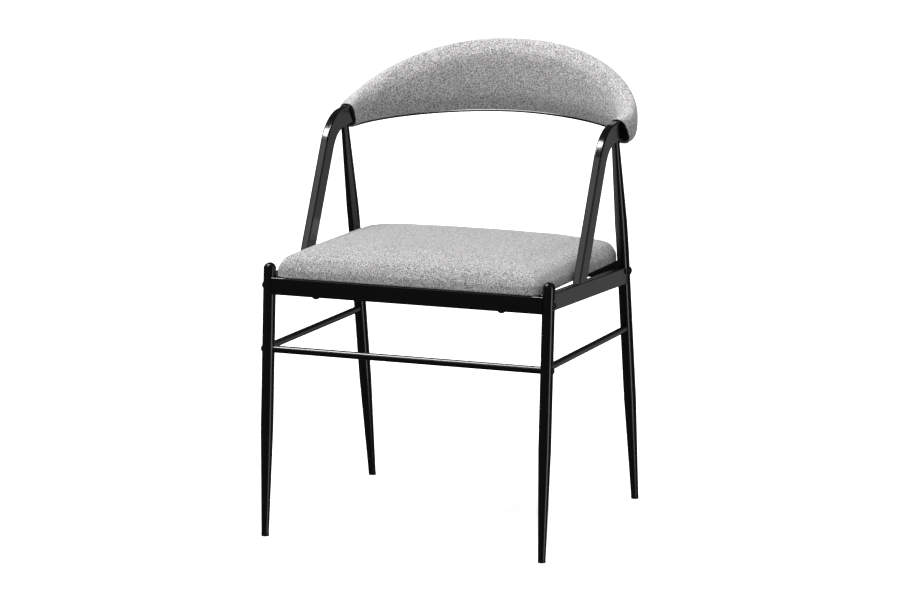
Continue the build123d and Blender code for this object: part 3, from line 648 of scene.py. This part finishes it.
world = bpy.data.worlds.new("studio")
world.use_nodes = True
sky = world.node_tree
daylight = sky.nodes["Background"]
daylight.inputs["Color"].default_value = (1, 1, 1, 1)
daylight.inputs["Strength"].default_value = 0.41
reflected = sky.nodes.new("ShaderNodeBackground")
reflected.inputs["Color"].default_value = (0.9, 0.95, 1.0, 1)
reflected.inputs["Strength"].default_value = 0.04
blend = sky.nodes.new("ShaderNodeMixShader")
paths = sky.nodes.new("ShaderNodeLightPath")
sky.links.new(paths.outputs["Is Glossy Ray"], blend.inputs[0])
sky.links.new(daylight.outputs[0], blend.inputs[1])
sky.links.new(reflected.outputs[0], blend.inputs[2])
sky.links.new(blend.outputs[0], sky.nodes["World Output"].inputs["Surface"])
scene.world = world
# the floor neither darkens nor brightens the chair: the lights reach past it
floor.visible_glossy = False
floor.visible_diffuse = False
floor.visible_shadow = False


def softbox(name, place, aim, width, height, power, gloss=True, diffuse=True):
    """Square-cornered area light; it can be left out of mirror-like or of soft reflections."""
    light = bpy.data.lights.new(name, "AREA")
    light.shape = "RECTANGLE"
    light.size, light.size_y = width, height
    light.energy = power
    lamp = bpy.data.objects.new(name, light)
    lamp.location = place
    lamp.rotation_mode = "QUATERNION"
    lamp.rotation_quaternion = (Vector(aim) - Vector(place)).to_track_quat("-Z", "Y")
    lamp.visible_camera = False
    lamp.visible_diffuse, lamp.visible_glossy = diffuse, gloss
    scene.collection.objects.link(lamp)


softbox("key_panel", (-1.10, -0.50, 3.20), (-1.10, -0.499, 0.0), 1.0, 1.6, 34, gloss=False)
softbox("key_gloss", (-1.05, -0.72, 2.95), (0, 0, 0.6), 0.6, 1.5, 62, diffuse=False)
softbox("right_strip", (2.20, -0.72, 0.30), (0, 0, 0.3), 0.60, 3.0, 10, diffuse=False)
softbox("rear_right_box", (1.25, 2.9, -0.10), (0, 0, 0.4), 1.5, 2.0, 1.9, diffuse=False)
softbox("arm_gloss", (-1.10, -2.13, 2.47), (0, -0.10, 0.55), 0.9, 0.9, 2.6, diffuse=False)
softbox("rear_left_box", (-2.2, 2.2, 1.6), (0, 0, 0.5), 0.8, 1.8, 10, diffuse=False)

key = bpy.data.lights.new("key_sun", "SUN")
key.energy = 2.9
key.angle = math.radians(60)
key_lamp = bpy.data.objects.new("key_sun", key)
key_lamp.rotation_mode = "QUATERNION"
key_lamp.rotation_quaternion = Vector((0.15, 0.2, -1.0)).to_track_quat("-Z", "Y")
key_lamp.visible_glossy = False
scene.collection.objects.link(key_lamp)

view = scene.view_settings
view.view_transform = "Standard"
view.look = "None"

CAMERA_AZIMUTH, CAMERA_ELEVATION = math.radians(21.79), math.radians(10.81)
CAMERA_DISTANCE, FOCAL_PIXELS = 6.993, 4159.0
AIM_RIGHT, AIM_DOWN = 42.3, 15.4    # how far the target stands left of and above the middle
target = Vector((0, LEG_TOP_Y, 0.450))
back = Vector((
    math.sin(CAMERA_AZIMUTH) * math.cos(CAMERA_ELEVATION),
    -math.cos(CAMERA_AZIMUTH) * math.cos(CAMERA_ELEVATION),
    math.sin(CAMERA_ELEVATION),
))
right = Vector((math.cos(CAMERA_AZIMUTH), math.sin(CAMERA_AZIMUTH), 0))
up = back.cross(right)
forward = -back + right * (AIM_RIGHT / FOCAL_PIXELS) - up * (AIM_DOWN / FOCAL_PIXELS)
camera = bpy.data.objects.new("camera", bpy.data.cameras.new("camera"))
camera.data.sensor_width = 36.0
camera.data.lens = 36.0 * FOCAL_PIXELS / 900
camera.data.clip_start, camera.data.clip_end = 0.1, 100
camera.location = target + back * CAMERA_DISTANCE
camera.rotation_mode = "QUATERNION"
camera.rotation_quaternion = forward.to_track_quat("-Z", "Y")
scene.collection.objects.link(camera)
scene.camera = camera
